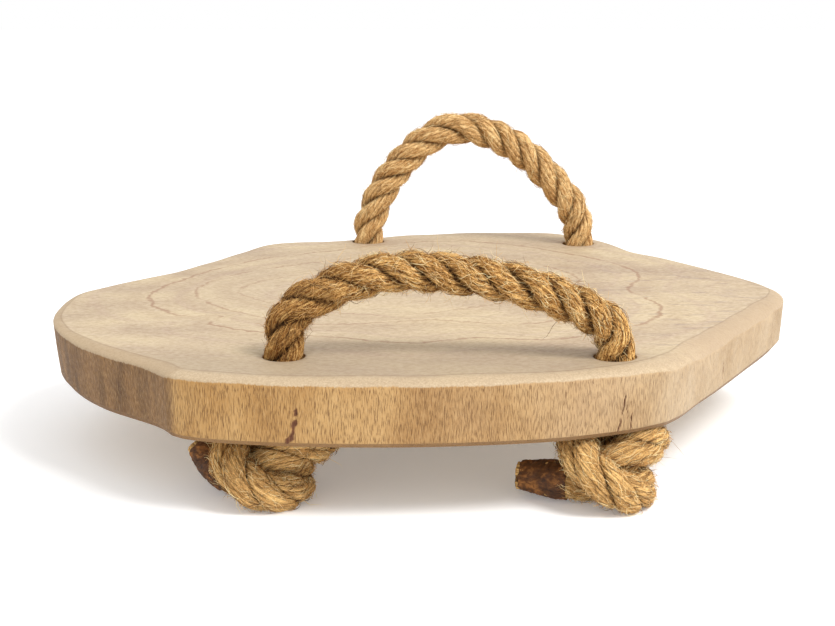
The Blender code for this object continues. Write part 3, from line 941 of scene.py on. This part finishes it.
def sampled(grid, row, strand, column):
    """Values of a grid at fractional rows and columns."""
    row = np.clip(row, 0, len(grid) - 1.001)
    r, c = row.astype(int), np.floor(column).astype(int)
    fr, fc = (row - r)[..., None], (column - np.floor(column))[..., None]
    a, b = grid[r, strand, c % COLUMNS], grid[r, strand, (c + 1) % COLUMNS]
    d, e = grid[r + 1, strand, c % COLUMNS], grid[r + 1, strand, (c + 1) % COLUMNS]
    return (a * (1 - fc) + b * fc) * (1 - fr) + (d * (1 - fc) + e * fc) * fr


def outer_spots(crest, count, rng):
    """Random places on the part of a rope's surface that shows."""
    rings = len(crest)
    row, strand = rng.uniform(1, rings - 2, count * 4), rng.integers(0, STRANDS, count * 4)
    column = rng.uniform(0, COLUMNS, count * 4)
    shown = crest[row.astype(int), strand, column.astype(int)] > 0.12
    return row[shown][:count], strand[shown][:count], column[shown][:count]


def laid_fibres(points, crest, normals, count, rng):
    """Fibres that follow the yarns and lift a little off them."""
    row, strand, column = outer_spots(crest, count, rng)
    n, t = len(row), np.linspace(0, 1, 5)[None]
    reach = rng.uniform(2.5, 9, n)[:, None] * rng.choice([-1, 1], n)[:, None]
    drift = rng.normal(0, 5.5, n)[:, None]
    bow = rng.normal(0, 2.2, n)[:, None] * np.sin(pi * t)
    rows, columns = row[:, None] + reach * t, column[:, None] + drift * t + bow
    strands = np.broadcast_to(strand[:, None], rows.shape)
    place = sampled(points, rows, strands, columns)
    out = sampled(normals, rows, strands, columns)
    lift = rng.gamma(2.0, 0.42, n)[:, None] * MM
    shape = np.sin(pi * np.clip(t * rng.uniform(0.6, 1.0, n)[:, None], 0, 1)) ** 0.8
    place = place + out * (lift * shape - 0.05 * MM)[..., None]
    lit = crest[row.astype(int), strand, column.astype(int)]
    return place, rng.uniform(0.11, 0.22, n) * MM, out[:, 0], lit


def loose_fibres(points, crest, normals, along, count, length, rng, lean=1.0):
    """Fibres that stick out and curl."""
    row, strand, column = outer_spots(crest, count, rng)
    n, t = len(row), np.linspace(0, 1, 4 if length < 5 * MM else 6)[None, :, None]
    base = sampled(points, row, strand, column)
    out = unit(sampled(normals, row, strand, column))
    run = unit(sampled(along, row, strand, column)) * rng.choice([-1, 1], n)[:, None]
    side = np.cross(out, run)
    size = np.minimum(length * rng.lognormal(0, 0.4, n), 15 * MM)[:, None, None]
    rise = rng.uniform(0.15, lean, n)[:, None]
    sway = rng.normal(0, 0.45, n)[:, None]
    start = unit(out * rise + run * rng.uniform(0.3, 1.0, n)[:, None] + side * sway)
    turn = unit(rng.normal(0, 1, (n, 3)))
    turn -= start * (turn * start).sum(axis=1, keepdims=True)
    curl = rng.uniform(0.2, 0.9, n)[:, None, None] * turn[:, None]
    second = unit(rng.normal(0, 1, (n, 3)))[:, None] * 0.12
    place = base[:, None] - out[:, None] * 0.2 * MM + size * (
        start[:, None] * t + curl * t * t * 0.6 + second * np.sin(2 * pi * t) * t
    )
    lit = crest[row.astype(int), strand, column.astype(int)]
    return place, rng.uniform(0.07, 0.15, n) * MM, out, lit


def painted_shade_share(place):
    """How much painted shade darkens the rope: most where the front handle rises on the left."""
    x, y, z = place[..., 0], place[..., 1], place[..., 2]
    return eased(x, -0.02, -0.09) * eased(y, 0, -0.1) * eased(z, UNDERSIDE_Z, TOP_Z) * 0.42


def fibre_piece(name, groups, material, rng, floor):
    """Thin three-sided tubes along the fibres, which taper towards their tips."""
    vertices, faces, tones, total = [], [], [], 0
    for place, thick, guide, lit in groups:
        place[..., 2] = np.maximum(place[..., 2], floor)
        n, k = place.shape[:2]
        direction = unit(np.gradient(place, axis=1))
        first = unit(np.cross(direction, guide[:, None] + 0.01))
        second = np.cross(direction, first)
        taper = np.interp(np.linspace(0, 1, k), [0, 0.15, 0.6, 1], [0.8, 1.0, 0.85, 0.3])
        radius = (thick[:, None] * taper[None])[..., None]
        corners = [
            place + radius * (first * cos(a) + second * sin(a))
            for a in (0, 2 * pi / 3, 4 * pi / 3)
        ]
        vertices.append(np.stack(corners, axis=2).reshape(-1, 3))
        start = np.arange(n)[:, None, None] * (k * 3) + np.arange(k - 1)[None, :, None] * 3 + total
        here = np.arange(3)[None, None]
        after = (here + 1) % 3
        quads = np.stack([start + here, start + after, start + 3 + after, start + 3 + here], -1)
        foot = np.arange(n) * k * 3 + total
        faces.append((quads.reshape(-1, 4), np.concatenate([
            np.stack([foot + 2, foot + 1, foot], axis=1),
            np.stack([foot, foot + 1, foot + 2], axis=1) + (k - 1) * 3,
        ])))
        # Fibres are darker where they root in a groove and on the left of the front handle: painted
        # shade.
        light = rng.beta(0.7, 0.6, n) * (0.25 + 0.75 * lit) * (1 - painted_shade_share(place[:, 0]))
        tones.append(np.repeat(light, k * 3))
        total += n * k * 3
    made = add_mesh(
        name, np.concatenate(vertices),
        [np.concatenate([f[0] for f in faces]), np.concatenate([f[1] for f in faces])],
        material, {"tone": np.concatenate(tones)},
    )
    return made


def build_tape(name, route, radius, material, rng):
    """A tape wound round the rope's end in a few overlapping turns."""
    s = lengths(route)
    first, last = ROPE_PAST_TAPE, ROPE_PAST_TAPE + TAPE_LENGTH
    steps, segments = 58, 72
    at = np.linspace(first, last, steps)
    centre = np.stack([np.interp(at, s, c) for c in route.T], axis=1)
    along, across, up = moving_frames(centre)
    turn = np.linspace(0, 2 * pi, segments, endpoint=False)
    t, a = np.meshgrid(np.linspace(0, 1, steps), turn, indexing="ij")
    lap = (t * 3.2 + a / (2 * pi)) % 1.0
    size = np.interp(at, s, radius)[:, None] + (0.35 + 0.4 * lap) * MM
    size += 0.25 * MM * np.sin(3 * a + 9 * t) * np.sin(2 * pi * t + 1.0)
    size += (
        wave(rng, a + t * 5, [0.9, 0.55], 0.16 * MM)
        + wave(rng, t + a * 0.07, [0.11, 0.07], 0.14 * MM)
    )
    size -= 0.4 * MM * np.exp(-t / 0.03)
    outer = centre[:, None] + size[..., None] * (
        np.cos(a)[..., None] * across[:, None] + np.sin(a)[..., None] * up[:, None]
    )
    ragged = wave(rng, turn, [2 * pi / 3, 2 * pi / 7, 2 * pi / 13], 0.8 * MM)
    edge = np.exp(-np.arange(steps) / 2.0)
    outer += (ragged[None] * edge[:, None])[..., None] * along[:, None]
    inner = centre[:, None] + (outer - centre[:, None]) * ((size - 0.3 * MM) / size)[..., None]
    shell = np.concatenate([outer, inner[::-1], outer[:1]])
    shell[..., 2] = np.maximum(shell[..., 2], 0.1 * MM)
    vertices = shell[:-1].reshape(-1, 3)
    rows = len(shell) - 1
    faces = grid_faces(rows + 1, segments)
    faces = np.where(faces >= rows * segments, faces - rows * segments, faces)
    made = add_mesh(name + "_tape_wrap", vertices, [faces], material)
    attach(made, name.split("_")[0] + "_rope")
    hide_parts(name + "_tape")
    return made


def rope_thickness(s, full):
    """The rope is thinner in its holes, and drawn in under the tape at its ends."""
    ends = np.minimum(s, full - s)
    taped = eased(ends, TAPE_LENGTH + 9 * MM, TAPE_LENGTH - 2 * MM)
    narrowed = eased(ends, TAPE_LENGTH * 0.8, 0)
    in_hole = np.exp(-(((ends - KNOT_ROPE - 20 * MM) / (16 * MM)) ** 4))
    return ROPE_RADIUS * (1.0 - 0.07 * in_hole - 0.05 * taped - 0.22 * narrowed)


def build_rope(side, rope, hair, tape, seed, fuzz, plump):
    """A whole rope in three stretches: two knots, and the arch between them."""
    rng = np.random.default_rng(seed)
    route = whole_route(side)
    s = lengths(route)
    radius = rope_thickness(s, s[-1])
    radius = radius * (1 + (plump - 1) * eased(route[:, 2], TOP_Z + 4 * MM, TOP_Z + 20 * MM))
    ends = np.minimum(s, s[-1] - s)
    packed = 1 - eased(ends, KNOT_ROPE - 30 * MM, KNOT_ROPE)
    bare = ends > ROPE_PAST_TAPE + TAPE_LENGTH
    points, crest = rope_surface(route, radius, packed, rng)
    points = squashed(points, route, radius)
    points = keep_off_wood(points, [hole_centre(side + "_left"), hole_centre(side + "_right")])
    normals, along = surface_normals(points)
    above = np.flatnonzero(route[:, 2] > SEAM_Z)
    first, last = above[0], above[-1]
    stretches = {
        f"{side}_left": (0, first + 1), f"{side}_handle": (first, last + 1),
        f"{side}_right": (last, len(route)),
    }
    for name, (start, stop) in stretches.items():
        part = slice(start, stop)
        is_arch = name.endswith("handle")
        piece = strand_piece(
            name + "_rope_strands", points[part], crest[part], packed[part], s[part], rope
        )
        pieces = [piece]
        count = int((s[stop - 1] - s[start]) / MM * fuzz)
        surface = (points[part], crest[part] * bare[part, None, None], normals[part])
        lying = [laid_fibres(*surface, int(count * LYING), rng)]
        standing = [
            loose_fibres(*surface, along[part], int(count * STANDING), 3.0 * MM, rng),
            loose_fibres(*surface, along[part], int(count * LONG), 9.5 * MM, rng, 0.9),
        ]
        for kind, groups in (("_lying_fibres", lying), ("_standing_fibres", standing)):
            groups = [clear_of_wood(g, side) for g in groups]
            pieces.append(fibre_piece(name + kind, groups, hair, rng, 0.2 * MM))
        for made in pieces:
            if is_arch:
                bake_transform(made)
            else:
                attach(made, side + "_rope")
        if is_arch:
            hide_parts(side + "_handle", side + "_left_rope_leg", side + "_right_rope_leg")
        else:
            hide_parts(name + "_knot")
            tail = slice(0, int(60 * MM / RING_STEP))
            if start == 0:
                build_tape(name, route[tail], radius[tail], tape, rng)
            else:
                build_tape(name, route[::-1][tail], radius[::-1][tail], tape, rng)


def clear_of_wood(group, side):
    """Leaves out the fibres that would run into the slab, at rest or with the rope let down."""
    place = group[0]
    z = place[..., 2]
    inside = (z > UNDERSIDE_Z - 0.2 * MM) & (z < TOP_Z + ROPE_SLIP + FIBRE_CLEARANCE)
    for end in ("_left", "_right"):
        away = np.linalg.norm(place[..., :2] - hole_centre(side + end)[:2], axis=-1)
        inside &= away > HOLE_RADIUS - 0.9 * MM
    keep = ~inside.any(axis=1)
    return [values[keep] for values in group]


# ---------------------------------------------------------------- camera, light and floor


def build_studio():
    lens = bpy.data.cameras.new("camera")
    lens.sensor_width, lens.lens, lens.clip_start = 36, 73.29, 0.05
    camera = bpy.data.objects.new("camera", lens)
    camera.location = (-0.007, -1.19115, TOP_Z + 0.23627)
    camera.rotation_euler = (radians(78), 0, 0)
    bpy.context.scene.collection.objects.link(camera)
    bpy.context.scene.camera = camera

    world = bpy.data.worlds.new("studio")
    world.use_nodes = True
    background = world.node_tree.nodes["Background"]
    background.inputs["Color"].default_value = (1.0, 1.0, 1.0, 1.0)
    background.inputs["Strength"].default_value = 1.0
    bpy.context.scene.world = world
    bpy.context.scene.view_settings.view_transform = "Standard"

    light = bpy.data.lights.new("key", "AREA")
    light.energy, light.size = 44, 0.85
    lamp = bpy.data.objects.new("key", light)
    lamp.location = (1.25, -1.1, 1.9)
    aim = Vector((0, 0, 0.08)) - lamp.location
    lamp.rotation_euler = aim.to_track_quat("-Z", "Y").to_euler()
    bpy.context.scene.collection.objects.link(lamp)

    g = Graph("pale_floor")
    floor_mesh = bpy.data.meshes.new("floor")
    floor_mesh.from_pydata([(-6, -6, 0), (6, -6, 0), (6, 6, 0), (-6, 6, 0)], [], [(0, 1, 2, 3)])
    g.shader.inputs["Emission Color"].default_value = (1.0, 1.0, 1.0, 1.0)
    g.shader.inputs["Emission Strength"].default_value = 0.16  # a lit white table
    floor_mesh.materials.append(g.finish((0.93, 0.93, 0.93, 1.0), 0.9, specular=0.0))
    floor = bpy.data.objects.new("floor", floor_mesh)
    floor.location.z = -0.2 * MM
    bpy.context.scene.collection.objects.link(floor)


# ---------------------------------------------------------------- the tray

build_studio()
build_slab(wood_material())

tape = tape_material()
build_rope(
    "front",
    jute_material("front_jute", srgb(80, 44, 16), srgb(172, 122, 64), srgb(250, 206, 132), 0.9),
    fibre_material("front_jute_fibres", srgb(72, 38, 12), srgb(216, 162, 90), srgb(255, 238, 184)),
    tape, seed=21, fuzz=1.0, plump=1.0,
)
build_rope(
    "rear",
    jute_material("rear_jute", srgb(148, 102, 56), srgb(208, 163, 106), srgb(246, 212, 154), 0.55),
    fibre_material("rear_jute_fibres", srgb(116, 74, 32), srgb(218, 170, 102), srgb(255, 236, 182)),
    tape, seed=22, fuzz=0.55, plump=1.06,
)
